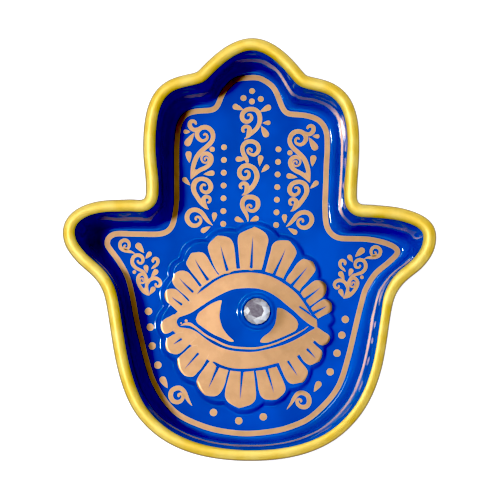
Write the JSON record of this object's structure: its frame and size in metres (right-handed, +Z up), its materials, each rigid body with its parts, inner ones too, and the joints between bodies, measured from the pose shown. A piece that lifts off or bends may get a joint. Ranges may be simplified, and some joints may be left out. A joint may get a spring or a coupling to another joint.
{
  "type": "hamsa trinket dish",
  "caption": "Shallow hand-shaped ceramic dish with a gilded lip, a raised flower and eye with a cut stone in the palm, and copper foil scrolls, to hold small jewellery.",
  "frame": {"origin": "on the surface the dish stands on, under the middle of its overall length and width", "axes": "+X to the right thumb as seen from above, +Y to the fingertips, +Z up out of the dish"},
  "size_m": [0.112, 0.1264, 0.022],
  "materials": {
    "cobalt_glaze": "gloss cobalt glaze",
    "gold_lustre": "satin gold lustre",
    "copper_foil": "satin copper foil",
    "stone_glass": "cut and polished",
    "stone_mirror": "silver backing",
    "cement": "matt, set adhesive"
  },
  "bodies": {
    "root": {"border_line": "copper_foil", "crown_dot_1": "copper_foil", "crown_dot_2": "copper_foil", "crown_dot_3": "copper_foil", "crown_dot_4": "copper_foil", "dish_body": "cobalt_glaze", "eye_lids": "copper_foil", "eye_stone": "stone_glass", "lash_line": "copper_foil", "left_column_dot_1": "copper_foil", "left_column_dot_2": "copper_foil", "left_column_dot_3": "copper_foil", "left_column_dot_4": "copper_foil", "left_column_dot_5": "copper_foil", "left_column_dot_6": "copper_foil", "left_column_dot_7": "copper_foil", "left_eye_white": "copper_foil", "left_palm_dot_1": "copper_foil", "left_palm_dot_2": "copper_foil", "left_palm_dot_3": "copper_foil", "left_palm_dot_4": "copper_foil", "left_thumb_vine": "copper_foil", "left_vine": "copper_foil", "left_wrist_curl": "copper_foil", "lower_petal_1": "copper_foil", "lower_petal_2": "copper_foil", "lower_petal_3": "copper_foil", "middle_vine": "copper_foil", "right_column_dot_1": "copper_foil", "right_column_dot_2": "copper_foil", "right_column_dot_3": "copper_foil", "right_column_dot_4": "copper_foil", "right_column_dot_5": "copper_foil", "right_column_dot_6": "copper_foil", "right_column_dot_7": "copper_foil", "right_eye_white": "copper_foil", "right_palm_dot_1": "copper_foil", "right_palm_dot_2": "copper_foil", "right_palm_dot_3": "copper_foil", "right_palm_dot_4": "copper_foil", "right_thumb_vine": "copper_foil", "right_vine": "copper_foil", "right_wrist_curl": "copper_foil", "rim_gilding": "gold_lustre", "stone_cement": "cement", "stone_foil": "stone_mirror", "upper_petal_1": "copper_foil", "upper_petal_2": "copper_foil", "upper_petal_3": "copper_foil", "upper_petal_4": "copper_foil", "upper_petal_5": "copper_foil", "upper_petal_6": "copper_foil", "upper_petal_7": "copper_foil", "wrist_dot_1": "copper_foil", "wrist_dot_2": "copper_foil", "wrist_dot_3": "copper_foil"}
  },
  "joints": []
}
